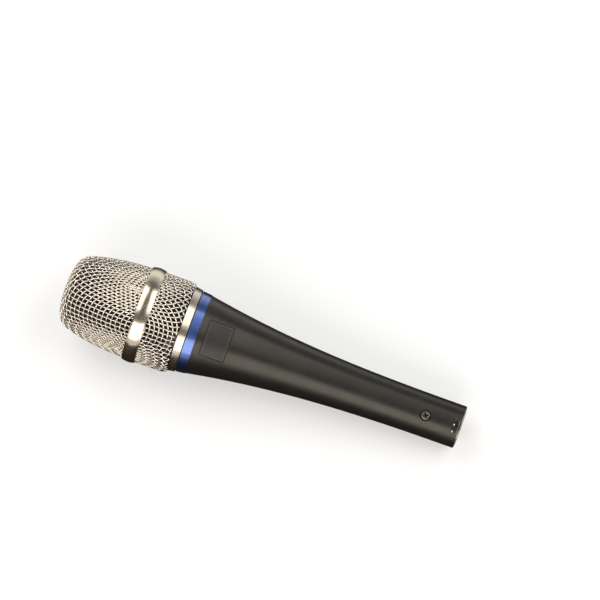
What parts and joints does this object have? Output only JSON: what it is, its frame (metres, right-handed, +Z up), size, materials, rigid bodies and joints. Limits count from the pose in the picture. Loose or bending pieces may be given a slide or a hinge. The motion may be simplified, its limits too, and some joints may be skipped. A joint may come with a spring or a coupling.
{
  "type": "dynamic microphone",
  "caption": "Handheld dynamic vocal microphone lying on its side: flared black handle, blue trim ring, woven wire head with a metal band, screw-off grille over a floating moving-coil capsule.",
  "frame": {"origin": "middle of the underside of the lying microphone's bounding box, on the surface it rests on", "axes": "+X towards the connector end, -X towards the grille's nose, +Z up; the microphone's own axis lies in the XZ plane and rises 4.9 degrees towards the grille"},
  "size_m": [0.2196, 0.052, 0.0524],
  "materials": {
    "handle_lacquer": "satin black lacquer on die-cast metal",
    "plate_foil": "bare printed foil, dark grey with a thin border",
    "trim_anodised": "blue anodised, fine turned finish",
    "sleeve_metal": "turned aluminium",
    "screw_steel": "nickel-plated steel",
    "brass": "turned brass",
    "insulator_plastic": "black moulded plastic",
    "contact_gold": "gold-plated brass",
    "lead_green": "green PVC insulation",
    "lead_red": "red PVC insulation",
    "lead_white": "white PVC insulation",
    "shock_rubber": "soft black rubber",
    "seal_rubber": "black rubber washer",
    "collar_nickel": "satin nickel plate",
    "mesh_wire": "warm nickel-plated steel wire, woven",
    "band_nickel": "satin nickel plate",
    "foam": "open-cell black foam",
    "housing_aluminium": "turned aluminium",
    "cap_plastic": "black moulded plastic",
    "screen_mesh": "fine grey screen cloth",
    "pole_steel": "zinc-plated soft iron",
    "magnet_metal": "nickel-plated magnet",
    "frame_plastic": "dark moulded plastic",
    "coil_copper": "enamelled copper wire",
    "felt": "grey wool felt",
    "board_laminate": "green glass-fibre board",
    "lug_tin": "tinned metal",
    "film": "thin clear-amber film"
  },
  "bodies": {
    "handle": {"handle_shell": "handle_lacquer", "name_plate": "plate_foil", "trim_ring": "trim_anodised", "thread_sleeve": "sleeve_metal", "connector_screw": "screw_steel", "screw_insert": "brass", "connector_insulator": "insulator_plastic", "ground_contact": "contact_gold", "hot_contact": "contact_gold", "cold_contact": "contact_gold", "ground_tag": "brass", "ground_lead": "lead_green", "hot_lead": "lead_red", "cold_lead": "lead_white", "front_shock_ring": "shock_rubber", "rear_shock_ring": "shock_rubber"},
    "seal": {"seal_ring": "seal_rubber"},
    "head": {"head_collar": "collar_nickel", "rear_basket": "mesh_wire", "grille_band": "band_nickel", "front_basket": "mesh_wire", "foam_liner": "foam"},
    "capsule": {"capsule_housing": "housing_aluminium", "resonator_cap": "cap_plastic", "dust_screen": "screen_mesh", "clamp_ring": "brass", "pole_ring": "pole_steel", "pole_plate": "pole_steel", "magnet": "magnet_metal", "yoke_cup": "pole_steel", "magnet_frame": "frame_plastic", "hum_coil": "coil_copper", "acoustic_felt": "felt", "terminal_board": "board_laminate", "solder_lugs": "lug_tin"},
    "diaphragm": {"diaphragm": "film", "voice_coil": "coil_copper"}
  },
  "joints": [
    {"name": "head_turn", "type": "hinge", "parent": "handle", "child": "seal", "pos_m": [-0.04067, 0, 0.02429], "axis": [-0.9963, 0, 0.0858], "range_deg": [0, 1440]},
    {"name": "head_advance", "type": "slide", "parent": "seal", "child": "head", "axis": [-0.9963, 0, 0.0858], "range_m": [0, 0.00401]},
    {"name": "capsule_float", "type": "slide", "parent": "handle", "child": "capsule", "axis": [-0.9963, 0, 0.0858], "range_m": [-0.0005, 0.0005], "stiffness_N_per_m": 2000, "deforming": ["front_shock_ring", "rear_shock_ring", "hot_lead", "cold_lead"]},
    {"name": "diaphragm_travel", "type": "slide", "parent": "capsule", "child": "diaphragm", "axis": [-0.9963, 0, 0.0858], "range_m": [-0.0003, 0.0003], "stiffness_N_per_m": 150}
  ],
  "couplings": [
    {"joint": "head_advance", "follows": "head_turn", "m_per_rad": 0.00015915}
  ]
}
